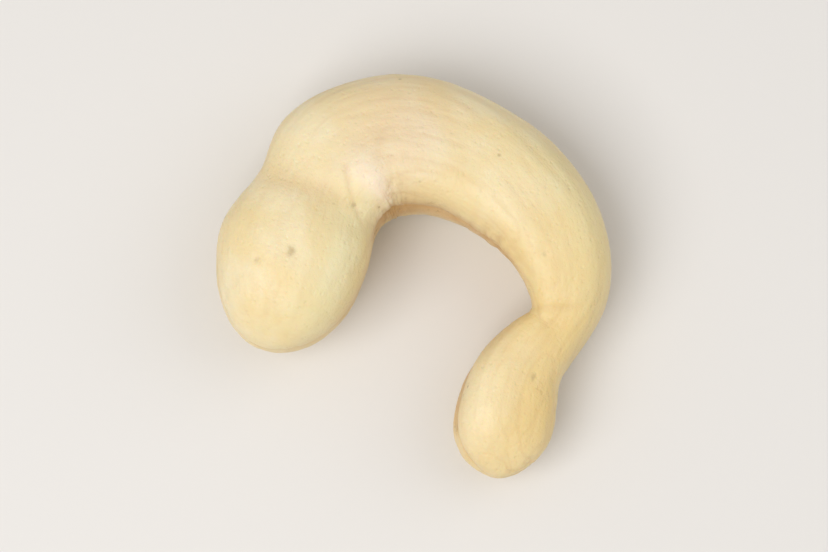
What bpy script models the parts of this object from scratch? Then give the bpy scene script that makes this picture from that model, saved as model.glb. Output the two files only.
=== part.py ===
"""A shelled and peeled cashew kernel: one thick crescent with a fat lobe, an arched back and a
slimmer tail, lying on one cheek. Blender 4.5, metres, +Z up. The origin is on the surface that
the kernel lies on, under the middle of its box, with the long way along X, the arched back
towards +Y and the open side towards -Y."""

import math

import bmesh
import bpy
import numpy as np

MM = 0.001

NAME = "cashew_kernel"

# The crescent is carried along a spine, from the end of the fat lobe over the back to the end of
# the tail. Each row is one control point of that smooth curve: its place seen from above (x, y),
# how high the underside is there, the half width across the crescent and the half thickness from
# cheek to cheek, all in millimetres, and the turn of the section round the spine in degrees.
SPINE = (
    (-7.3, -11.5, 0.25, 4.8, 5.4, 5),
    (-8.0, -3.7, -0.10, 6.0, 5.8, 4),
    (-8.8, 1.7, 0.30, 4.9, 5.2, -2),
    (-6.6, 6.0, 0.10, 5.5, 5.5, -6),
    (-1.1, 7.9, -0.25, 4.7, 5.4, -2),
    (6.0, 6.9, 0.00, 4.4, 5.1, 4),
    (10.5, 3.2, 0.25, 3.5, 4.3, 7),
    (10.7, -0.9, 0.35, 2.2, 3.6, 3),
    (9.0, -5.0, -0.15, 3.9, 4.1, -5),
    (11.7, -11.7, 0.05, 4.0, 3.9, -7),
)
LOBE_CAP = 6.6 * MM  # length over which the fat lobe rounds off
TAIL_CAP = 4.8 * MM
CAP_POWER = 2.3  # over 2, so that a rounded end meets the body with no sudden change of curvature

# The section of the crescent, as shares of its half width. The first flattens the cheeks and the
# back a little, the second draws the section in towards the hollow side.
CHEEK_FLATNESS = 0.046
HOLLOW_SIDE_DRAW = 0.030

# The seam where the halves of the kernel meet, along the back, over both ends and, deeper, along
# the hollow side.
BACK_SEAM_DEPTH = 0.13 * MM
BACK_SEAM_WIDTH = 0.75 * MM
HOLLOW_SEAM_DEPTH = 0.34 * MM
HOLLOW_SEAM_WIDTH = 0.90 * MM

HOLLOW_POWER = 1.5  # over 1, to keep the deeper seam and the folds to the hollow side

# Folds across the crescent, where it bent as it grew: share of the spine's length, depth,
# half breadth. They are deep on the hollow side and fade towards the back.
FOLDS = (
    (0.212, 0.18 * MM, 1.7 * MM),
    (0.765, 0.45 * MM, 1.2 * MM),
)

# Shallow hollows and swellings of the cheeks and the back: share of the spine's length, angle
# round the section from the back in degrees, height, half length, half breadth.
SURFACE_FORMS = (
    (0.215, 122.0, -0.42 * MM, 1.6 * MM, 3.4 * MM),
    (0.295, 134.0, 0.45 * MM, 2.0 * MM, 2.6 * MM),
    (0.50, 112.0, -0.16 * MM, 7.0 * MM, 2.4 * MM),
    (0.47, 138.0, 0.20 * MM, 7.0 * MM, 1.8 * MM),
    (0.13, 84.0, 0.20 * MM, 3.6 * MM, 3.0 * MM),
    (0.63, 78.0, -0.16 * MM, 3.0 * MM, 2.4 * MM),
    (0.88, 108.0, 0.22 * MM, 3.0 * MM, 2.2 * MM),
    (0.52, 248.0, -0.30 * MM, 6.5 * MM, 2.0 * MM),
    (0.27, 285.0, -0.25 * MM, 2.6 * MM, 3.0 * MM),
    (0.143, 10.0, 0.58 * MM, 2.4 * MM, 4.0 * MM),
    (0.228, 12.0, -0.45 * MM, 1.8 * MM, 4.0 * MM),
    (0.280, 20.0, 0.60 * MM, 2.0 * MM, 3.6 * MM),
)

# The root tip, a low blunt nib at the end of the tail.
NIB_HEIGHT = 0.32 * MM
NIB_RADIUS = 1.3 * MM

FLAT_DEPTH = 0.10 * MM  # how much of the three low places is pressed flat

AROUND = 44  # faces round the section
ALONG = 72  # faces from the end of the lobe to the end of the tail
SEAM_CROWDING = 0.42  # draws the faces together along the seam, from 0 to under 1

KERNEL_COLOUR = (0.80, 0.65, 0.40, 1.0)
KERNEL_ROUGHNESS = 0.46


def clear_scene():
    for old in list(bpy.data.objects):
        bpy.data.objects.remove(old)


def smooth_curve(rows, at, slope=False):
    """Values, or slopes, of the uniform cubic B-spline on rows at positions from 0 to the last row.
    The rows are carried on past both ends so that the curve starts and stops on the end rows."""
    before, after = 2 * rows[0] - rows[1], 2 * rows[-1] - rows[-2]
    held = np.vstack([before, rows, after])
    first = np.clip(np.floor(at).astype(int), 0, len(rows) - 2)
    f = at - first
    if slope:
        weights = (-3 * (1 - f) ** 2, 9 * f**2 - 12 * f, -9 * f**2 + 6 * f + 3, 3 * f**2)
    else:
        weights = ((1 - f) ** 3, 3 * f**3 - 6 * f**2 + 4, -3 * f**3 + 3 * f**2 + 3 * f + 1, f**3)
    return sum(w[:, None] * held[first + n] for n, w in enumerate(weights)) / 6


def distances_along(rows, steps=600):
    """Positions on the spine's curve, and how far each is along it from the end of the lobe."""
    at = np.linspace(0, len(rows) - 1, steps)
    places = smooth_curve(rows, at)[:, :3]
    lengths = np.linalg.norm(np.diff(places, axis=0), axis=1)
    return at, np.concatenate([[0.0], np.cumsum(lengths)])


def end_rounding(distance, cap):
    """Share of the full section at a distance from the end: 0 at the end, 1 past the cap."""
    left = 1 - np.minimum(distance / cap, 1)
    return np.sqrt(np.maximum(1 - left**CAP_POWER, 0))


def bell(offset, breadth):
    return np.exp(-((offset / breadth) ** 2))


def angle_between(angle, other):
    """Signed difference of two angles, from minus half a turn to half a turn."""
    return (angle - other + math.pi) % (2 * math.pi) - math.pi


def relief(distance, length, angle, rounding, half_width, half_thickness):
    """Height of the surface over the plain section, in metres: the seam, folds and other forms.
    The angle runs from 0 on the back to half a turn on the hollow side. back_way runs from 1 on
    the back over 0 at the two ends to -1 on the hollow side, and off_seam is the distance from the
    plane of the seam, so that the seam runs on over both ends."""
    back_way = rounding * np.cos(angle)
    off_seam = half_thickness * rounding * np.sin(angle)
    deeper = np.clip(-back_way, 0, 1) ** HOLLOW_POWER
    seam_depth = BACK_SEAM_DEPTH + (HOLLOW_SEAM_DEPTH - BACK_SEAM_DEPTH) * deeper
    seam_width = BACK_SEAM_WIDTH + (HOLLOW_SEAM_WIDTH - BACK_SEAM_WIDTH) * deeper
    height = -seam_depth * bell(off_seam, seam_width)
    hollow_side = (0.5 - 0.5 * back_way) ** HOLLOW_POWER
    for share, depth, breadth in FOLDS:
        height = height - depth * hollow_side * bell(distance - share * length, breadth)
    for share, degrees, rise, half_length, half_breadth in SURFACE_FORMS:
        across = half_width * rounding * angle_between(angle, math.radians(degrees))
        along = distance - share * length
        height = height + rise * bell(along, half_length) * bell(across, half_breadth)
    return height


def kernel_places(share, angle):
    """Places of the surface. share runs from 0 at the lobe's end to 1 at the tail's, the angle
    once round the section. The spine stands half a thickness over its underside. A place is the
    spine's, plus the outward direction times half the width times the angle's cosine, plus the
    upward direction times half the thickness times its sine. Both are drawn in at the ends, both
    directions are turned round the spine by the row's turn, and the relief lifts the place along
    the surface's normal, which swings from the section's plane to the spine's direction there."""
    rows = np.array(SPINE) * [MM, MM, MM, MM, MM, math.radians(1)]
    rows[:, 2] += rows[:, 4] * (1 - CHEEK_FLATNESS)
    at_table, distance_table = distances_along(rows)
    length = distance_table[-1]
    distance = share * length
    at = np.interp(distance, distance_table, at_table)
    values, slopes = smooth_curve(rows, at), smooth_curve(rows, at, slope=True)
    spine = values[:, :3]
    half_width, half_thickness, turn = values[:, 3], values[:, 4], values[:, 5, None]
    forward = slopes[:, :3] / np.linalg.norm(slopes[:, :3], axis=1)[:, None]
    outward = np.stack([-forward[:, 1], forward[:, 0], np.zeros(len(at))], axis=1)
    outward /= np.linalg.norm(outward, axis=1)[:, None]
    upward = np.cross(forward, outward)
    across_way = outward * np.cos(turn) + upward * np.sin(turn)
    thick_way = upward * np.cos(turn) - outward * np.sin(turn)
    rounding = end_rounding(distance, LOBE_CAP) * end_rounding(length - distance, TAIL_CAP)
    section = 1 - CHEEK_FLATNESS * np.cos(4 * angle) + HOLLOW_SIDE_DRAW * np.cos(3 * angle)
    lift = relief(distance, length, angle, rounding, half_width, half_thickness)
    across = (half_width * section + lift) * rounding * np.cos(angle)
    height = (half_thickness * section + lift) * rounding * np.sin(angle)
    places = spine + across_way * across[:, None] + thick_way * height[:, None]
    on_tail = share > 0.5
    nib = on_tail * NIB_HEIGHT * bell(half_width * rounding, NIB_RADIUS)
    past_end = np.where(on_tail, lift, -lift) * np.sqrt(1 - rounding**2)
    return places + forward * (nib + past_end)[:, None]


def laid_flat(places):
    """The places moved so that the box is centred over the origin, and what would be lower than
    the table pressed up to it, which leaves small flats at the three low points."""
    low, high = places.min(axis=0), places.max(axis=0)
    moved = places - [*(low[:2] + high[:2]) / 2, low[2] + FLAT_DEPTH]
    moved[:, 2] = np.maximum(moved[:, 2], 0)
    return moved


def kernel_mesh():
    """A sphere primitive whose poles become the two ends, shaped by kernel_places."""
    shape = bmesh.new()
    bmesh.ops.create_uvsphere(shape, u_segments=AROUND, v_segments=ALONG, radius=1.0)
    ball = np.array([v.co for v in shape.verts])
    share = (1 + np.clip(ball[:, 2], -1, 1)) / 2
    even = np.arctan2(ball[:, 1], ball[:, 0])
    angle = even - SEAM_CROWDING / 2 * np.sin(2 * even)
    for vertex, place in zip(shape.verts, laid_flat(kernel_places(share, angle))):
        vertex.co = place
    bmesh.ops.recalc_face_normals(shape, faces=shape.faces)
    mesh = bpy.data.meshes.new(NAME)
    shape.to_mesh(mesh)
    shape.free()
    mesh.shade_smooth()
    return mesh


def kernel_material():
    material = bpy.data.materials.new("kernel_flesh")
    material.use_nodes = True
    shader = material.node_tree.nodes["Principled BSDF"]
    shader.inputs["Base Color"].default_value = KERNEL_COLOUR
    shader.inputs["Roughness"].default_value = KERNEL_ROUGHNESS
    shader.inputs["Metallic"].default_value = 0.0
    material.diffuse_color = KERNEL_COLOUR
    return material


def main():
    clear_scene()
    collection = bpy.data.collections.new("Cashew kernel")
    bpy.context.scene.collection.children.link(collection)
    mesh = kernel_mesh()
    mesh.materials.append(kernel_material())
    kernel = bpy.data.objects.new(NAME, mesh)
    collection.objects.link(kernel)


main()
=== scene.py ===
"""A shelled and peeled cashew kernel on a pale table, as a Blender add-on that is run as a script.

The kernel is one closed surface, worked out with numpy as a function of two parameters: the share
of the way along its spine, from the fat lobe over the arched back to the slimmer tail, and the
angle round the section. Metres, +Z up, +X along the kernel, the arched back towards +Y."""

import itertools
import math

import bpy
import numpy as np
from bpy.props import FloatProperty, FloatVectorProperty, IntProperty, PointerProperty
from bpy.types import Operator, Panel, PropertyGroup
from mathutils import Matrix, Vector


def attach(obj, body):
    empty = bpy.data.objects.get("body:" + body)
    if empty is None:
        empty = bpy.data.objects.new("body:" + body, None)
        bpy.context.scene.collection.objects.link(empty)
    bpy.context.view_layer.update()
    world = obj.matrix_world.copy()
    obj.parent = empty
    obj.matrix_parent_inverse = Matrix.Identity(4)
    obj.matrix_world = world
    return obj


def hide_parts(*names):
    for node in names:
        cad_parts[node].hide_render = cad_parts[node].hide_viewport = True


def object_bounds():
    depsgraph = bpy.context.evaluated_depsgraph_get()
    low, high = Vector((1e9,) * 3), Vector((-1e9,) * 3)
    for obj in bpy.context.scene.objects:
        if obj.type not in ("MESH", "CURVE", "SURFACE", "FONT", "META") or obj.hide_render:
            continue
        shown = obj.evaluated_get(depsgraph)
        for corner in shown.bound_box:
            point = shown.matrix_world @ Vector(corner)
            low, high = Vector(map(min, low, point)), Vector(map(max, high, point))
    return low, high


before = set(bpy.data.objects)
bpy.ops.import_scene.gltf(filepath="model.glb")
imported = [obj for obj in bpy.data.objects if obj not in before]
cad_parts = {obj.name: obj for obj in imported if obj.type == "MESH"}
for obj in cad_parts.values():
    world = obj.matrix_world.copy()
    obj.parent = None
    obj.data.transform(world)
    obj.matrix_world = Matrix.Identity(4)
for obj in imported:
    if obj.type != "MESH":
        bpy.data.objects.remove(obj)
CAD_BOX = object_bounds()

bl_info = {
    "name": "Cashew kernel",
    "version": (1, 0, 0),
    "blender": (4, 5, 0),
    "location": "3D View > Sidebar > Kernel",
    "description": "Adds a peeled cashew kernel and a plain studio stage",
    "category": "Add Mesh",
}

MM = 0.001
NODE = "cashew_kernel"
IMAGE_SIZE = (828, 552)
SENSOR = 36.0  # the camera's sensor width, in the lens's own millimetres
CENTRING_ROUNDS = 3

# The two soft lights: turn from the camera's side and height angle in degrees, then the distance
# from the kernel and the side of the square light in metres. ROOM is the even light all round.
KEY_LIGHT = (-48.0, 58.0, 0.42, 0.28)
FILL_LIGHT = (104.0, 48.0, 0.50, 0.40)
ROOM_COLOUR = (1.0, 0.985, 0.965, 1.0)
ROOM_STRENGTH = 0.50
TABLE_HALF = 1.5  # half the side of the table top, in metres

# The crescent is carried along a spine, from the end of the fat lobe over the back to the end of
# the tail. Each row is one control point of that smooth curve: its place seen from above (x, y),
# how high the underside is there, the half width across the crescent and the half thickness from
# cheek to cheek, all in millimetres, and the turn of the section round the spine in degrees.
SPINE = (
    (-7.3, -11.5, 0.25, 4.8, 5.4, 5),
    (-8.0, -3.7, -0.10, 6.0, 5.8, 4),
    (-8.8, 1.7, 0.30, 4.9, 5.2, -2),
    (-6.6, 6.0, 0.10, 5.5, 5.5, -6),
    (-1.1, 7.9, -0.25, 4.7, 5.4, -2),
    (6.0, 6.9, 0.00, 4.4, 5.1, 4),
    (10.5, 3.2, 0.25, 3.5, 4.3, 7),
    (10.7, -0.9, 0.35, 2.2, 3.6, 3),
    (9.0, -5.0, -0.15, 3.9, 4.1, -5),
    (11.7, -11.7, 0.05, 4.0, 3.9, -7),
)
LOBE_CAP = 6.6 * MM  # length over which the fat lobe rounds off
TAIL_CAP = 4.8 * MM
CAP_POWER = 2.3  # over 2, so that a rounded end meets the body with no sudden change of curvature

# The section of the crescent, as shares of its half width. The first flattens the cheeks and the
# back a little, the second draws the section in towards the hollow side.
CHEEK_FLATNESS = 0.046
HOLLOW_SIDE_DRAW = 0.030

# The seam where the halves of the kernel meet, along the back, over both ends and, deeper, along
# the hollow side: a broad shallow valley, and in its middle a fine line.
BACK_SEAM_DEPTH = 0.13 * MM
BACK_SEAM_WIDTH = 0.75 * MM
HOLLOW_SEAM_DEPTH = 0.34 * MM
HOLLOW_SEAM_WIDTH = 0.90 * MM
SEAM_LINE_DEPTH = 0.11 * MM
SEAM_LINE_WIDTH = 0.15 * MM
SEAM_WANDER = 0.45 * MM
SEAM_WANDER_SPAN = 7.0 * MM
LIP_HEIGHT = 0.09 * MM  # how far one half of the kernel stands over the other at the seam, at most
LIP_WIDTH = 2.0 * MM
LIP_SPAN = 9.0 * MM

HOLLOW_POWER = 1.5  # over 1, to keep the deeper seam and the folds to the hollow side

# Folds across the crescent, where it bent as it grew: share of the spine's length, depth,
# half breadth. They are deep on the hollow side and fade towards the back.
FOLDS = (
    (0.212, 0.18 * MM, 1.7 * MM),
    (0.765, 0.45 * MM, 1.2 * MM),
)

# Shallow hollows and swellings of the cheeks and the back: share of the spine's length, angle
# round the section from the back in degrees, height, half length, half breadth.
SURFACE_FORMS = (
    (0.215, 122.0, -0.42 * MM, 1.6 * MM, 3.4 * MM),
    (0.295, 134.0, 0.45 * MM, 2.0 * MM, 2.6 * MM),
    (0.50, 112.0, -0.16 * MM, 7.0 * MM, 2.4 * MM),
    (0.47, 138.0, 0.20 * MM, 7.0 * MM, 1.8 * MM),
    (0.13, 84.0, 0.20 * MM, 3.6 * MM, 3.0 * MM),
    (0.63, 78.0, -0.16 * MM, 3.0 * MM, 2.4 * MM),
    (0.88, 108.0, 0.22 * MM, 3.0 * MM, 2.2 * MM),
    (0.52, 248.0, -0.30 * MM, 6.5 * MM, 2.0 * MM),
    (0.27, 285.0, -0.25 * MM, 2.6 * MM, 3.0 * MM),
    (0.143, 10.0, 0.58 * MM, 2.4 * MM, 4.0 * MM),
    (0.228, 12.0, -0.45 * MM, 1.8 * MM, 4.0 * MM),
    (0.280, 20.0, 0.60 * MM, 2.0 * MM, 3.6 * MM),
)

# The root tip, a low blunt nib at the end of the tail.
NIB_HEIGHT = 0.32 * MM
NIB_RADIUS = 1.3 * MM

FLAT_DEPTH = 0.10 * MM  # how much of the three low places is pressed flat

# Bends of the spine where the hollow side is squeezed into small cross wrinkles: share of the
# spine's length, half length of the wrinkled stretch.
SQUEEZED = ((0.32, 4.0 * MM), (0.59, 3.2 * MM), (0.765, 2.6 * MM))
WRINKLES_FROM = 0.78  # how far towards the hollow side they start, from 0 on the back to 1
WRINKLES_FADE = 0.20

# The fine relief is made of noises, each one coarse and one fine. Lumps and dimples are alike every
# way: their size in millimetres. The others are drawn out: how many of them come in a millimetre
# from hollow to back, from cheek to cheek and along the spine.
LUMP_SIZES = (5.2, 2.3)
DIMPLE_SIZES = (0.95, 0.45)
RIPPLES = ((1.15, 1.15, 0.11), (2.4, 2.4, 0.2))
WRINKLES = ((0.24, 0.24, 0.62), (0.38, 0.38, 1.25))
VEINS = ((0.42, 0.42, 0.085), (0.80, 0.80, 0.13))
VEIN_GAPS_SIZE = 6.0  # of the stretches with veins and without, in millimetres

# Patches of other tint on the upper cheek: share of the spine's length, angle round the section
# from the back in degrees, half length, half breadth.
PINK_PATCHES = ((0.37, 92.0, 3.4 * MM, 4.2 * MM), (0.30, 122.0, 1.5 * MM, 2.0 * MM))
GREEN_PATCHES = (
    (0.17, 126.0, 4.2 * MM, 2.4 * MM),
    (0.09, 124.0, 3.6 * MM, 2.2 * MM),
    (0.62, 44.0, 6.0 * MM, 2.2 * MM),
)
PALE_PATCHES = ((0.26, 60.0, 2.6 * MM, 2.4 * MM), (0.90, 126.0, 3.6 * MM, 2.0 * MM))
# A painted highlight: whiter colour on the swelling at the neck, where it faces the light.
NECK_HIGHLIGHT_PATCHES = ((0.300, 124.0, 1.6 * MM, 2.6 * MM),)
# Warm patches: the three at 150 degrees, on the rim towards the hollow, are painted orange bounce light and
# shade; the rest are warmer flesh.
WARM_AND_BOUNCE_PATCHES = (
    (0.11, 150.0, 5.0 * MM, 2.2 * MM),
    (0.04, 92.0, 2.4 * MM, 3.4 * MM),
    (0.40, 150.0, 3.4 * MM, 1.5 * MM),
    (0.61, 150.0, 3.6 * MM, 1.8 * MM),
    (0.68, 56.0, 4.4 * MM, 2.2 * MM),
    (0.76, 72.0, 3.4 * MM, 3.0 * MM),
    (0.89, 58.0, 4.6 * MM, 3.0 * MM),
)

TINTS = {
    "pink": PINK_PATCHES,
    "green": GREEN_PATCHES,
    "pale": PALE_PATCHES,
    "neck_highlight": NECK_HIGHLIGHT_PATCHES,
    "warm_and_bounce": WARM_AND_BOUNCE_PATCHES,
}

# The dents that show on the upper cheek of the lobe and the neck: share of the spine's length,
# angle from the back in degrees, radius, share of the deepest dent's depth.
CHEEK_DENTS = (
    (0.130, 86.0, 0.58 * MM, 0.95),
    (0.103, 63.0, 0.22 * MM, 0.80),
    (0.229, 124.0, 0.32 * MM, 0.85),
)

# Creases across the upper cheek, at the neck and the waist: share of the spine's length and angle
# from the back in degrees where each starts and where it ends, then its depth and half width.
CHEEK_CREASES = (
    (0.214, 36.0, 0.232, 130.0, 0.14 * MM, 0.95 * MM),
    (0.205, 137.0, 0.282, 97.0, 0.13 * MM, 0.36 * MM),
    (0.322, 116.0, 0.350, 86.0, 0.08 * MM, 0.50 * MM),
    (0.764, 140.0, 0.728, 54.0, 0.09 * MM, 0.30 * MM),
)
CREASE_WANDER = 0.22 * MM
CREASE_WANDER_SPAN = 1.6 * MM
# The creases' tan is partly residue and partly painted shade, darker the deeper the crease.
CREASE_TAN_AND_SHADE_DEPTH = 0.30 * MM  # a crease this deep is as tan as a seam

SEAM_CROWDING = 0.42  # draws the grid together along the seam, from 0 to under 1


def colour_property(name, description, default):
    return FloatVectorProperty(
        name=name, description=description, default=default, subtype="COLOR", size=3, min=0.0, max=1.0
    )


class KernelShape(PropertyGroup):
    """How fine and how rough the kernel's surface is."""

    rows: IntProperty(
        name="Rows", description="Rings of faces from the lobe to the tail", default=430, min=40
    )
    columns: IntProperty(
        name="Columns", description="Faces round the section", default=222, min=24
    )
    lump_height: FloatProperty(
        name="Lumps", description="Height of the broad unevenness", default=0.20 * MM, unit="LENGTH"
    )
    ripple_height: FloatProperty(
        name="Ripples", description="Height of the ripples along it", default=0.045 * MM, unit="LENGTH"
    )
    wrinkle_depth: FloatProperty(
        name="Wrinkles", description="Depth of the cross wrinkles", default=0.10 * MM, unit="LENGTH"
    )
    vein_depth: FloatProperty(
        name="Veins", description="Depth of the skin's fine lines", default=0.05 * MM, unit="LENGTH"
    )
    dimple_depth: FloatProperty(
        name="Dimples", description="Depth of the shallow dimples", default=0.05 * MM, unit="LENGTH"
    )
    pits: IntProperty(name="Pits", description="Number of small dents", default=46, min=0)
    pit_depth: FloatProperty(
        name="Pit depth", description="Depth of the deepest dent", default=0.13 * MM, unit="LENGTH"
    )
    seed: IntProperty(name="Seed", description="Draws another kernel's unevenness", default=7)


class KernelFinish(PropertyGroup):
    """The colours and gloss of the peeled kernel."""

    ivory: colour_property("Ivory", "Main colour of the flesh", (0.850, 0.690, 0.380))
    cream: colour_property("Cream", "Palest flesh, on the crowns", (0.895, 0.775, 0.505))
    # Straw also paints orange bounce light and shade on the rim towards the hollow.
    straw_and_bounce: colour_property("Straw", "Warmer flesh, towards the tail", (0.820, 0.605, 0.255))
    pink: colour_property("Pink", "Faint blush on the arch", (0.835, 0.635, 0.455))
    # Painted highlight on the swelling at the neck.
    neck_highlight: colour_property("Neck highlight", "The whitish swelling at the neck", (0.940, 0.800, 0.610))
    green: colour_property("Green", "Faint grey green by the hollow", (0.785, 0.730, 0.430))
    # Tan also paints shade and orange bounce light on the hollow side and in the creases.
    tan: colour_property("Tan", "Flesh in the seams and folds", (0.540, 0.285, 0.085))
    bruise: colour_property("Bruise", "Grey brown flesh in the dents", (0.500, 0.370, 0.180))
    speck: colour_property("Speck", "Small dark specks", (0.260, 0.135, 0.050))
    roughness: FloatProperty(
        name="Roughness", description="Mean roughness of the flesh", default=0.46, min=0.0, max=1.0
    )


class StageLook(PropertyGroup):
    """The table, the light and where the camera stands."""

    azimuth: FloatProperty(
        name="Azimuth",
        description="Camera's turn round the kernel",
        default=math.radians(27),
        subtype="ANGLE",
    )
    elevation: FloatProperty(
        name="Elevation",
        description="Camera's height angle",
        default=math.radians(80),
        subtype="ANGLE",
    )
    distance: FloatProperty(
        name="Distance", description="From the camera to the kernel", default=0.30, unit="LENGTH"
    )
    fill: FloatProperty(
        name="Fill", description="Share of the picture's height that the kernel takes", default=0.74
    )
    table: colour_property("Table", "Colour of the table", (0.79, 0.765, 0.735))
    key_power: FloatProperty(
        name="Key power", description="Power of the main soft light", default=1.08, unit="POWER"
    )
    fill_power: FloatProperty(
        name="Fill power", description="Power of the second soft light", default=0.44, unit="POWER"
    )


def smooth_curve(rows, at, slope=False):
    """Values, or slopes, of the uniform cubic B-spline on rows at positions from 0 to the last row.
    The rows are carried on past both ends so that the curve starts and stops on the end rows."""
    before, after = 2 * rows[0] - rows[1], 2 * rows[-1] - rows[-2]
    held = np.vstack([before, rows, after])
    first = np.clip(np.floor(at).astype(int), 0, len(rows) - 2)
    f = at - first
    if slope:
        weights = (-3 * (1 - f) ** 2, 9 * f**2 - 12 * f, -9 * f**2 + 6 * f + 3, 3 * f**2)
    else:
        weights = ((1 - f) ** 3, 3 * f**3 - 6 * f**2 + 4, -3 * f**3 + 3 * f**2 + 3 * f + 1, f**3)
    return sum(w[:, None] * held[first + n] for n, w in enumerate(weights)) / 6


def distances_along(rows, steps=600):
    """Positions on the spine's curve, and how far each is along it from the end of the lobe."""
    at = np.linspace(0, len(rows) - 1, steps)
    places = smooth_curve(rows, at)[:, :3]
    lengths = np.linalg.norm(np.diff(places, axis=0), axis=1)
    return at, np.concatenate([[0.0], np.cumsum(lengths)])


def end_rounding(distance, cap):
    """Share of the full section at a distance from the end: 0 at the end, 1 past the cap."""
    left = 1 - np.minimum(distance / cap, 1)
    return np.sqrt(np.maximum(1 - left**CAP_POWER, 0))


def bell(offset, breadth):
    return np.exp(-((offset / breadth) ** 2))


def angle_between(angle, other):
    """Signed difference of two angles, from minus half a turn to half a turn."""
    return (angle - other + math.pi) % (2 * math.pi) - math.pi


def soft_noise(places, seed):
    """Smooth noise from about -1 to 1 on an array of places: each corner of the unit cell round a
    place has a random slope, and the slopes' rises are blended with the quintic 6t^5-15t^4+10t^3."""
    cell = np.floor(places).astype(np.int64)
    inside = places - cell
    fade = inside**3 * (inside * (inside * 6 - 15) + 10)
    total = np.zeros(len(places))
    for corner in itertools.product((0, 1), repeat=3):
        at = cell + corner
        mixed = (at[:, 0] * 73856093) ^ (at[:, 1] * 19349663) ^ (at[:, 2] * 83492791) ^ (seed * 2654435)
        mixed = (mixed ^ (mixed >> 13)) * 1274126177
        mixed = mixed ^ (mixed >> 16)
        slopes = np.stack([(mixed >> shift) & 1023 for shift in (0, 10, 20)], axis=1) / 511.5 - 1
        weight = np.prod(np.where(corner, fade, 1 - fade), axis=1)
        total += weight * np.sum(slopes * (inside - corner), axis=1)
    return total * 1.4


class Patch:
    """Where every point of the grid is on the kernel, as whole arrays: share of the way along the
    spine, angle round the section, distance from the lobe's end, and the place on the kernel as it
    would be if its spine were straight. back_way runs from 1 on the back over 0 at the two ends to
    -1 on the hollow side, and off_seam is the distance from the plane of the seam."""

    def __init__(self, share, angle):
        self.share, self.angle = share, angle
        rows = np.array(SPINE) * [MM, MM, MM, MM, MM, math.radians(1)]
        rows[:, 2] += rows[:, 4] * (1 - CHEEK_FLATNESS)
        at_table, distance_table = distances_along(rows)
        self.length = distance_table[-1]
        self.distance = share * self.length
        at = np.interp(self.distance, distance_table, at_table)
        values, slopes = smooth_curve(rows, at), smooth_curve(rows, at, slope=True)
        self.spine = values[:, :3]
        self.half_width, self.half_thickness, turn = values[:, 3], values[:, 4], values[:, 5, None]
        self.forward = slopes[:, :3] / np.linalg.norm(slopes[:, :3], axis=1)[:, None]
        level = np.stack([-self.forward[:, 1], self.forward[:, 0], np.zeros(len(at))], axis=1)
        level /= np.linalg.norm(level, axis=1)[:, None]
        upward = np.cross(self.forward, level)
        self.across_way = level * np.cos(turn) + upward * np.sin(turn)
        self.thick_way = upward * np.cos(turn) - level * np.sin(turn)
        self.rounding = end_rounding(self.distance, LOBE_CAP) * end_rounding(
            self.length - self.distance, TAIL_CAP
        )
        self.back_way = self.rounding * np.cos(angle)
        self.off_seam = self.half_thickness * self.rounding * np.sin(angle)
        self.straight = np.stack([self.half_width * self.back_way, self.off_seam, self.distance], axis=1)
        self.hollow_side = 0.5 - 0.5 * self.back_way

    def near(self, share, degrees, half_length, half_breadth):
        """1 at one place of the surface, falling off to 0 round it."""
        across = self.half_width * self.rounding * angle_between(self.angle, math.radians(degrees))
        along = self.distance - share * self.length
        return bell(along, half_length) * bell(across, half_breadth)


def main_relief(patch):
    """Height over the plain section: the broad valley of the seam, the folds and other forms."""
    deeper = np.clip(-patch.back_way, 0, 1) ** HOLLOW_POWER
    seam_depth = BACK_SEAM_DEPTH + (HOLLOW_SEAM_DEPTH - BACK_SEAM_DEPTH) * deeper
    seam_width = BACK_SEAM_WIDTH + (HOLLOW_SEAM_WIDTH - BACK_SEAM_WIDTH) * deeper
    height = -seam_depth * bell(patch.off_seam, seam_width)
    for share, depth, breadth in FOLDS:
        along = patch.distance - share * patch.length
        height = height - depth * patch.hollow_side**HOLLOW_POWER * bell(along, breadth)
    for share, degrees, rise, half_length, half_breadth in SURFACE_FORMS:
        height = height + rise * patch.near(share, degrees, half_length, half_breadth)
    return height


def seam_line(patch, seed):
    """1 on the fine line in the middle of the seam and 0 away from it. The line wanders to either
    side with a slow noise, fades in and out with another, and is broader on the hollow side."""
    place = patch.straight * [1, 0, 1] / SEAM_WANDER_SPAN
    wander = SEAM_WANDER * soft_noise(place, seed + 1)
    deeper = np.clip(-patch.back_way, 0, 1)
    strength = 0.5 + 0.7 * soft_noise(place * 1.7 + 5.5, seed + 2) + 0.35 * deeper
    return bell(patch.off_seam - wander, SEAM_LINE_WIDTH * (1 + 0.3 * deeper)) * np.clip(strength, 0.1, 1)


def lip_drop(patch, seed):
    """How much lower one half lies than the other beside the seam, from 0 to 1. A slow noise says
    which half and how much, and the drop fades away from the seam as a bell."""
    lead = 1.6 * soft_noise(patch.straight * [1, 0, 1] / LIP_SPAN, seed + 9)
    side = np.tanh(patch.off_seam / SEAM_LINE_WIDTH)
    return np.clip(side * lead, 0, 1) * bell(patch.off_seam, LIP_WIDTH)


def vein_lines(patch, seed):
    """1 on fine lines that run along the kernel, where the skin's veins lay, and 0 away from them:
    the lines are where a noise, drawn out along the spine, crosses zero."""
    mm = patch.straight / MM
    broad = soft_noise(mm * VEINS[0] + 3.1, seed + 10)
    thin = soft_noise(mm * VEINS[1] + 7.7, seed + 11)
    presence = np.clip(0.5 + 1.2 * soft_noise(mm / VEIN_GAPS_SIZE, seed + 12), 0, 1)
    return presence * np.maximum(bell(broad, 0.055), 0.7 * bell(thin, 0.07))


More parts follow.
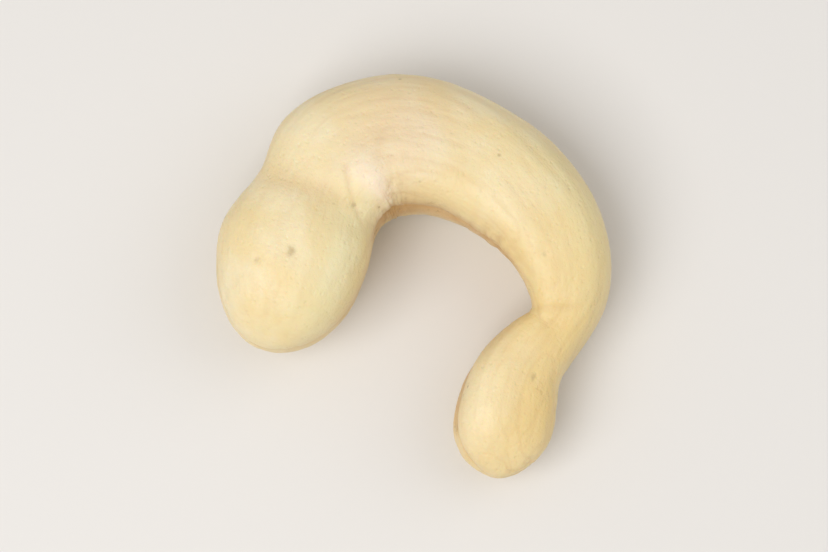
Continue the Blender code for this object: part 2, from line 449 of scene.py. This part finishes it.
def pit_marks(patch, shape):
    """Small round dents: each is a bell of its own radius and depth, those of the upper cheek at
    their places and the rest at random ones, drawn from the seed. Gives the depth from 0 to 1."""
    draw = np.random.default_rng(shape.seed)
    marks = np.zeros(len(patch.share))
    for share, degrees, radius, depth in CHEEK_DENTS:
        marks = np.maximum(marks, depth * patch.near(share, degrees, radius * 1.3, radius))
    for _ in range(shape.pits):
        share, degrees = draw.uniform(0.04, 0.96), draw.uniform(0, 360)
        radius = draw.uniform(0.16, 0.50) * MM
        depth = draw.uniform(0.25, 1.0)
        marks = np.maximum(marks, depth * patch.near(share, degrees, radius * draw.uniform(1, 2.2), radius))
    return marks


def cheek_creases(patch, seed):
    """Depth of the creases across the cheek. Each lies where the distance along the spine is that
    of the straight line from its start to its end, give or take a noise, and fades at both."""
    wander = CREASE_WANDER * soft_noise(patch.straight / CREASE_WANDER_SPAN, seed + 15)
    total = np.zeros(len(patch.share))
    for start, start_degrees, end, end_degrees, depth, half_width in CHEEK_CREASES:
        turned = angle_between(patch.angle, math.radians(start_degrees))
        way = turned / math.radians(end_degrees - start_degrees)
        off = patch.distance - (start + (end - start) * way) * patch.length - wander
        total = np.maximum(total, depth * bell(off, half_width) * np.clip(1.25 - (2 * way - 1) ** 2, 0, 1))
    return total


def fine_relief(patch, shape):
    """Height of what is too fine for the solid, never over 0, and how deep each point is in a
    crease and in a dent. The height sums broad lumps, ripples along the spine, cross wrinkles where
    the hollow side is squeezed, the seams' lines and lips, veins, dimples, dents and creases."""
    seed = shape.seed
    mm = patch.straight / MM
    lumps = soft_noise(mm / LUMP_SIZES[0], seed + 3) + 0.5 * soft_noise(mm / LUMP_SIZES[1], seed + 4)
    ripples = soft_noise(mm * RIPPLES[0], seed + 5) + 0.5 * soft_noise(mm * RIPPLES[1], seed + 6)
    near_seams = 0.45 + 0.55 * np.abs(patch.back_way) ** 3
    squeezed = np.zeros(len(mm))
    for share, half_length in SQUEEZED:
        squeezed = np.maximum(squeezed, bell(patch.distance - share * patch.length, half_length))
    squeezed = squeezed * np.clip((patch.hollow_side - WRINKLES_FROM) / WRINKLES_FADE, 0, 1)
    broad_folds = bell(soft_noise(mm * WRINKLES[0] + 2.3, seed + 7), 0.20)
    thin_folds = bell(soft_noise(mm * WRINKLES[1] + 9.1, seed + 8), 0.17)
    wrinkles = squeezed * np.maximum(broad_folds, 0.7 * thin_folds)
    dimples = soft_noise(mm / DIMPLE_SIZES[0], seed + 13) + 0.4 * soft_noise(mm / DIMPLE_SIZES[1], seed + 14)
    line = seam_line(patch, seed)
    veins = vein_lines(patch, seed)
    pits = pit_marks(patch, shape)
    creases = cheek_creases(patch, seed)
    height = shape.lump_height * (lumps - 1.0) * 0.5
    height = height + shape.ripple_height * (ripples - 1.0) * near_seams * 0.6
    height = height - shape.wrinkle_depth * wrinkles - shape.vein_depth * veins
    height = height + shape.dimple_depth * (np.clip(dimples, -1, 1) - 1) * 0.5
    height = height - SEAM_LINE_DEPTH * line - LIP_HEIGHT * lip_drop(patch, seed)
    height = height - shape.pit_depth * pits - creases
    # The crease mask tints the seam line, wrinkles, veins, ripples' troughs and creases tan in the material:
    # partly residue in them, partly painted shade, darker the deeper the crease.
    crease = 0.9 * line + 0.65 * wrinkles + 0.30 * veins + 0.20 * np.clip(-ripples, 0, 1)
    return height, np.clip(crease + creases / CREASE_TAN_AND_SHADE_DEPTH, 0, 1), pits**2


def kernel_places(patch, lift):
    """Places of the surface: the spine's, plus the outward direction times half the width times the
    angle's cosine, plus the upward direction times half the thickness times its sine. Both are
    drawn in at the ends, both directions are turned round the spine, and the lift goes along the
    surface's normal, which swings from the section's plane to the spine's direction at the ends."""
    section = 1 - CHEEK_FLATNESS * np.cos(4 * patch.angle) + HOLLOW_SIDE_DRAW * np.cos(3 * patch.angle)
    across = (patch.half_width * section + lift) * patch.rounding * np.cos(patch.angle)
    height = (patch.half_thickness * section + lift) * patch.rounding * np.sin(patch.angle)
    places = patch.spine + patch.across_way * across[:, None] + patch.thick_way * height[:, None]
    on_tail = patch.share > 0.5
    nib = on_tail * NIB_HEIGHT * bell(patch.half_width * patch.rounding, NIB_RADIUS)
    past_end = np.where(on_tail, lift, -lift) * np.sqrt(1 - patch.rounding**2)
    return places + patch.forward * (nib + past_end)[:, None]


def laid_flat(places):
    """The places moved so that the box is centred over the origin, and what would be lower than
    the table pressed up to it, which leaves small flats at the three low places. Then each way is
    shrunk, if need be, to stay inside the box of the solid."""
    low, high = places.min(axis=0), places.max(axis=0)
    moved = places - [*(low[:2] + high[:2]) / 2, low[2] + FLAT_DEPTH]
    moved[:, 2] = np.maximum(moved[:, 2], 0)
    size = moved.max(axis=0) - moved.min(axis=0)
    room = np.array(CAD_BOX[1]) - np.array(CAD_BOX[0])
    return moved * np.minimum(room / size, 1)


def kernel_grid(shape):
    """Shares and angles of the grid's points: the lobe's end, the rings one after another, and the
    tail's end. The rings crowd towards the ends as a sphere's do, the points towards the seams."""
    turn = np.linspace(0, math.pi, shape.rows + 1)[1:-1]
    even = np.arange(shape.columns) * 2 * math.pi / shape.columns
    around = even - SEAM_CROWDING / 2 * np.sin(2 * even)
    share, angle = np.meshgrid((1 - np.cos(turn)) / 2, around, indexing="ij")
    share = np.concatenate([[0.0], share.ravel(), [1.0]])
    return share, np.concatenate([[0.0], angle.ravel(), [0.0]])


def kernel_faces(rings, columns):
    """Corner numbers of the faces, facing outwards: a fan at each end and squares between rings."""
    here = np.arange(columns)
    beside = (here + 1) % columns
    last = rings * columns + 1
    lobe_fan = np.stack([np.zeros(columns, int), 1 + beside, 1 + here], axis=1)
    end = 1 + (rings - 1) * columns
    tail_fan = np.stack([np.full(columns, last), end + here, end + beside], axis=1)
    base = 1 + np.arange(rings - 1)[:, None] * columns
    squares = np.stack([base + here, base + beside, base + columns + beside, base + columns + here], axis=2)
    return lobe_fan.tolist() + squares.reshape(-1, 4).tolist() + tail_fan.tolist()


def store(mesh, name, kind, values):
    """Puts one value for each point of the mesh in an attribute that the material reads."""
    layer = mesh.attributes.new(name, kind, "POINT")
    layer.data.foreach_set("vector" if kind == "FLOAT_VECTOR" else "value", values.ravel())


def kernel_mesh(shape):
    share, angle = kernel_grid(shape)
    patch = Patch(share, angle)
    fine, crease, dents = fine_relief(patch, shape)
    places = laid_flat(kernel_places(patch, main_relief(patch) + fine))
    mesh = bpy.data.meshes.new("kernel")
    mesh.from_pydata(places.tolist(), [], kernel_faces(shape.rows - 1, shape.columns))
    mesh.validate()
    mesh.shade_smooth()
    deeper = np.clip(-patch.back_way, 0, 1)
    seams = bell(patch.off_seam, (0.9 + 0.6 * deeper) * MM) * (0.5 + 0.5 * deeper)
    store(mesh, "straight", "FLOAT_VECTOR", patch.straight / MM)
    store(mesh, "along", "FLOAT", share)
    store(mesh, "crease", "FLOAT", crease)
    store(mesh, "dents", "FLOAT", dents)
    store(mesh, "seam", "FLOAT", seams)
    store(mesh, "hollow", "FLOAT", patch.hollow_side)
    for name, places_of_tint in TINTS.items():
        store(mesh, name, "FLOAT", np.max([patch.near(*place) for place in places_of_tint], axis=0))
    return mesh


class Wire:
    """One output of a shader node. + - and * between wires and numbers add Math nodes."""

    def __init__(self, finish, socket):
        self.finish, self.socket = finish, socket

    def math(self, operation, first, second):
        sockets = {"Value": first, "Value_001": second}
        return self.finish.node("ShaderNodeMath", {"operation": operation}, sockets)

    def __add__(self, other):
        return self.math("ADD", self, other)

    def __sub__(self, other):
        return self.math("SUBTRACT", self, other)

    def __rsub__(self, other):
        return self.math("SUBTRACT", other, self)

    def __mul__(self, other):
        return self.math("MULTIPLY", self, other)

    __radd__ = __add__

    def held(self, low=0.0, high=1.0):
        """The value kept between two limits."""
        return self.math("MINIMUM", self.math("MAXIMUM", self, low), high)

    def step(self, low, high):
        """0 below low, 1 above high, and a smooth rise between them."""
        settings = {"interpolation_type": "SMOOTHSTEP"}
        sockets = {"Value": self, "From Min": low, "From Max": high}
        return self.finish.node("ShaderNodeMapRange", settings, sockets)


class Finish:
    """A material under construction, with one method that adds any node to it."""

    def __init__(self, name):
        self.material = bpy.data.materials.new(name)
        self.material.use_nodes = True
        self.tree = self.material.node_tree
        self.tree.nodes.clear()

    def node(self, kind, settings=None, sockets=None, output=None):
        """Adds a node, sets its settings, then gives its sockets, named by their identifiers, their
        values or links. Returns the output of that identifier, or the first one in use."""
        made = self.tree.nodes.new(kind)
        for key, value in (settings or {}).items():
            setattr(made, key, value)
        places = {s.identifier: s for s in made.inputs}
        for key, value in (sockets or {}).items():
            if isinstance(value, Wire):
                self.tree.links.new(value.socket, places[key])
            elif places[key].type == "RGBA":
                places[key].default_value = (*value, 1.0)
            else:
                places[key].default_value = value
        outputs = [s for s in made.outputs if s.enabled and output in (None, s.identifier)]
        return Wire(self, outputs[0]) if outputs else None

    def attribute(self, name, output="Fac"):
        return self.node("ShaderNodeAttribute", {"attribute_name": name}, None, output)

    def stretched(self, vector, scale):
        """A vector with its three parts multiplied by three numbers."""
        return self.node(
            "ShaderNodeVectorMath", {"operation": "MULTIPLY"}, {"Vector": vector, "Vector_001": scale}
        )

    def noise(self, vector, scale, detail=3.0, roughness=0.55, warp=0.0):
        sockets = {
            "Vector": vector,
            "Scale": scale,
            "Detail": detail,
            "Roughness": roughness,
            "Distortion": warp,
        }
        return self.node("ShaderNodeTexNoise", None, sockets, "Fac")

    def cells(self, vector, scale):
        """Distance from the nearest of many scattered points, for specks and pores."""
        sockets = {"Vector": vector, "Scale": scale}
        return self.node("ShaderNodeTexVoronoi", {"feature": "F1"}, sockets, "Distance")

    def mixed(self, share, first, second):
        """Two colours mixed: the second one's share runs from 0 to 1."""
        sockets = {"Factor_Float": share, "A_Color": first, "B_Color": second}
        return self.node("ShaderNodeMix", {"data_type": "RGBA"}, sockets, "Result_Color")

    def bump(self, height, depth, strength=1.0, under=None):
        sockets = {"Height": height, "Distance": depth, "Strength": strength}
        if under:
            sockets["Normal"] = under
        return self.node("ShaderNodeBump", None, sockets, "Normal")

    def surface(self, sockets):
        shader = self.node("ShaderNodeBsdfPrincipled", None, sockets)
        self.node("ShaderNodeOutputMaterial", None, {"Surface": shader})
        return self.material


def kernel_material(look):
    """Peeled kernel flesh: ivory, paler on the crowns and warmer towards the tail, faintly pink and
    green in patches, tan in the seams and folds, with a few specks and a dull oily sheen. Painted
    into the colour are shade and orange bounce light on the hollow side and the rim towards it,
    shade in the creases and a highlight on the swelling at the neck."""
    f = Finish("kernel_flesh")
    place = f.node("ShaderNodeTexCoord", None, None, "Object")
    straight = f.attribute("straight", "Vector")
    along, crease, seam = f.attribute("along"), f.attribute("crease"), f.attribute("seam")
    hollow = f.attribute("hollow")

    cloud = f.noise(place, 190.0, 3.0, 0.5, 0.3)
    mottle = f.noise(place, 620.0, 4.0, 0.6)
    streak = f.noise(f.stretched(straight, (1.0, 1.0, 0.12)), 0.9, 4.0, 0.6)
    fibre = f.noise(f.stretched(straight, (1.0, 1.0, 0.17)), 3.0, 3.0, 0.6)

    colour = f.mixed(cloud.step(0.40, 0.66), look.ivory, look.cream)
    # Warmer towards the tail and in the warm patches; the patches on the rim towards the hollow are painted
    # orange bounce light.
    warmth_and_bounce = along.step(0.38, 0.80) * 0.50 + f.attribute("warm_and_bounce") * 0.55
    warmth_and_bounce = (warmth_and_bounce + (streak - 0.5) * 0.8 + (cloud - 0.5) * 0.5).held()
    colour = f.mixed(warmth_and_bounce * 0.85, colour, look.straw_and_bounce)
    colour = f.mixed((f.attribute("pink") * (0.35 + mottle * 0.6)).held() * 0.75, colour, look.pink)
    colour = f.mixed((f.attribute("green") * (0.30 + cloud * 0.7)).held() * 0.8, colour, look.green)
    colour = f.mixed(f.attribute("pale") * 0.60, colour, look.cream)
    # Painted highlight on the swelling at the neck.
    colour = f.mixed(f.attribute("neck_highlight") * 0.85, colour, look.neck_highlight)
    past_lobe = 0.45 + along.step(0.20, 0.34) * 0.55
    # Tan on the hollow side is partly testa left in the groove and partly painted shade and orange bounce
    # light; along the seams it is the seam's own colour, and in the creases partly residue and partly
    # painted shade.
    tan = hollow.step(0.92, 1.0) * (0.40 + streak * 0.45) * past_lobe + seam * 0.30 + crease * 0.62
    colour = f.mixed(tan.held() * 0.72, colour, look.tan)
    grain = f.noise(place, 2600.0, 4.0, 0.65)
    bruise = (f.attribute("dents") + (mottle - 0.5) * 1.2 + (grain - 0.5) * 0.8).step(0.22, 0.85)
    colour = f.mixed(bruise * 0.62, colour, look.bruise)
    colour = f.mixed(fibre.step(0.56, 0.74) * 0.08, colour, look.tan)

    scatter = f.noise(place, 260.0, 2.0)
    ragged = (mottle - 0.5) * 0.10 + (grain - 0.5) * 0.10
    speck = (1 - (f.cells(place, 560.0) + ragged).step(0.02, 0.11)) * scatter.step(0.50, 0.60)
    residue = f.noise(place, 1100.0, 4.0, 0.7).step(0.58, 0.68) * hollow.step(0.90, 1.0)
    colour = f.mixed((speck * 0.5 + residue * 0.4).held(), colour, look.speck)

    pores = f.cells(place, 1900.0).step(0.0, 0.35)
    roughness = look.roughness + (mottle - 0.5) * 0.16 + crease * 0.12 + (grain - 0.5) * 0.10
    normal = f.bump(grain, 0.060 * MM, 1.0)
    normal = f.bump(pores, 0.035 * MM, 0.8, normal)
    normal = f.bump(fibre, 0.075 * MM, 0.5, normal)
    normal = f.bump(mottle, 0.090 * MM, 0.7, normal)
    return f.surface(
        {
            "Base Color": colour,
            "Roughness": roughness.held(0.3, 0.8),
            "Normal": normal,
            "IOR": 1.47,
            "Subsurface Weight": 0.30,
            "Subsurface Radius": (1.0, 0.62, 0.30),
            "Subsurface Scale": 1.1 * MM,
            "Coat Weight": 0.07,
            "Coat Roughness": 0.32,
        }
    )


def table_material(look):
    """A pale painted table top, very slightly uneven."""
    f = Finish("pale_table")
    place = f.node("ShaderNodeTexCoord", None, None, "Object")
    cloud = f.noise(place, 9.0, 3.0)
    darker = tuple(c * 0.965 for c in look.table)
    colour = f.mixed(cloud, look.table, darker)
    normal = f.bump(f.noise(place, 900.0, 3.0), 0.02 * MM, 0.4)
    return f.surface({"Base Color": colour, "Roughness": 0.55, "Normal": normal})


def link(piece):
    bpy.context.scene.collection.objects.link(piece)
    return piece


class AddKernel(Operator):
    """Adds the kernel's finished surface in the place of its plain solid"""

    bl_idname = "mesh.add_cashew_kernel"
    bl_label = "Cashew kernel"

    def execute(self, context):
        mesh = kernel_mesh(context.scene.kernel_shape)
        mesh.materials.append(kernel_material(context.scene.kernel_finish))
        kernel = link(bpy.data.objects.new("kernel", mesh))
        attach(kernel, "root")
        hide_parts(NODE)
        return {"FINISHED"}


def soft_light(name, power, light, azimuth, target):
    """A square area light that shines at a target, from a turn that is counted from azimuth."""
    turn, height_angle, distance, size = light
    way = away(azimuth + math.radians(turn), math.radians(height_angle))
    lamp = bpy.data.lights.new(name, "AREA")
    lamp.energy, lamp.size = power, size
    holder = link(bpy.data.objects.new(name, lamp))
    turned = way.to_track_quat("Z", "Y").to_matrix().to_4x4()
    holder.matrix_world = Matrix.Translation(target + way * distance) @ turned


def away(azimuth, elevation):
    """The direction from the kernel to something at a turn round it and a height angle."""
    flat = math.cos(elevation)
    return Vector((math.sin(azimuth) * flat, -math.cos(azimuth) * flat, math.sin(elevation)))


class AddStage(Operator):
    """Adds the table, two soft lights, the room's light and the camera"""

    bl_idname = "scene.add_kernel_stage"
    bl_label = "Table, light and camera"

    def execute(self, context):
        look = context.scene.kernel_stage
        middle = (Vector(CAD_BOX[0]) + Vector(CAD_BOX[1])) / 2
        self.add_table(look)
        self.add_light(context, look, middle)
        self.add_camera(context, look, middle)
        return {"FINISHED"}

    def add_table(self, look):
        """A flat square at the height that the kernel lies on."""
        corners = [(x * TABLE_HALF, y * TABLE_HALF, 0) for x, y in ((-1, -1), (1, -1), (1, 1), (-1, 1))]
        mesh = bpy.data.meshes.new("table")
        mesh.from_pydata(corners, [], [(0, 1, 2, 3)])
        mesh.materials.append(table_material(look))
        link(bpy.data.objects.new("table", mesh))

    def add_light(self, context, look, middle):
        soft_light("key", look.key_power, KEY_LIGHT, look.azimuth, middle)
        soft_light("fill", look.fill_power, FILL_LIGHT, look.azimuth, middle)
        world = bpy.data.worlds.new("room")
        world.use_nodes = True
        background = world.node_tree.nodes["Background"]
        background.inputs["Color"].default_value = ROOM_COLOUR
        background.inputs["Strength"].default_value = ROOM_STRENGTH
        context.scene.world = world
        context.scene.view_settings.view_transform = "Standard"

    def add_camera(self, context, look, middle):
        """The camera is moved sideways until the kernel's outline is centred in its view, and the
        lens is as long as makes the outline take the wanted share of the picture's height."""
        lens = bpy.data.cameras.new("camera")
        camera = link(bpy.data.objects.new("camera", lens))
        turned = away(look.azimuth, look.elevation).to_track_quat("Z", "Y").to_matrix()
        place = middle + turned.col[2] * look.distance
        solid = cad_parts[NODE].data
        points = np.empty(len(solid.vertices) * 3)
        solid.vertices.foreach_get("co", points)
        for _ in range(CENTRING_ROUNDS):
            seen = (points.reshape(-1, 3) - np.array(place)) @ np.array(turned)
            seen = seen[:, :2] / -seen[:, 2:]
            low, high = seen.min(axis=0), seen.max(axis=0)
            place += turned @ Vector((*(low + high) / 2 * look.distance, 0))
        camera.matrix_world = Matrix.Translation(place) @ turned.to_4x4()
        lens.sensor_width = SENSOR
        lens.lens = SENSOR * IMAGE_SIZE[1] / IMAGE_SIZE[0] * look.fill / (high[1] - low[1])
        lens.clip_start = 10 * MM
        context.scene.camera = camera


class KernelPanel(Panel):
    """Lists the kernel's sizes and colours, and the buttons that add each piece"""

    bl_idname = "VIEW3D_PT_cashew_kernel"
    bl_label = "Cashew kernel"
    bl_space_type = "VIEW_3D"
    bl_region_type = "UI"
    bl_category = "Kernel"

    def draw(self, context):
        scene = context.scene
        for group, operator in (
            (scene.kernel_shape, None),
            (scene.kernel_finish, AddKernel),
            (scene.kernel_stage, AddStage),
        ):
            box = self.layout.box()
            for name in group.__annotations__:
                box.prop(group, name)
            if operator:
                box.operator(operator.bl_idname)


CLASSES = (KernelShape, KernelFinish, StageLook, AddKernel, AddStage, KernelPanel)
GROUPS = {"kernel_shape": KernelShape, "kernel_finish": KernelFinish, "kernel_stage": StageLook}


def register():
    for cls in CLASSES:
        bpy.utils.register_class(cls)
    for name, group in GROUPS.items():
        setattr(bpy.types.Scene, name, PointerProperty(type=group))


def unregister():
    for name in GROUPS:
        delattr(bpy.types.Scene, name)
    for cls in reversed(CLASSES):
        bpy.utils.unregister_class(cls)


def main():
    register()
    bpy.ops.mesh.add_cashew_kernel()
    bpy.ops.scene.add_kernel_stage()


if __name__ == "__main__":
    main()
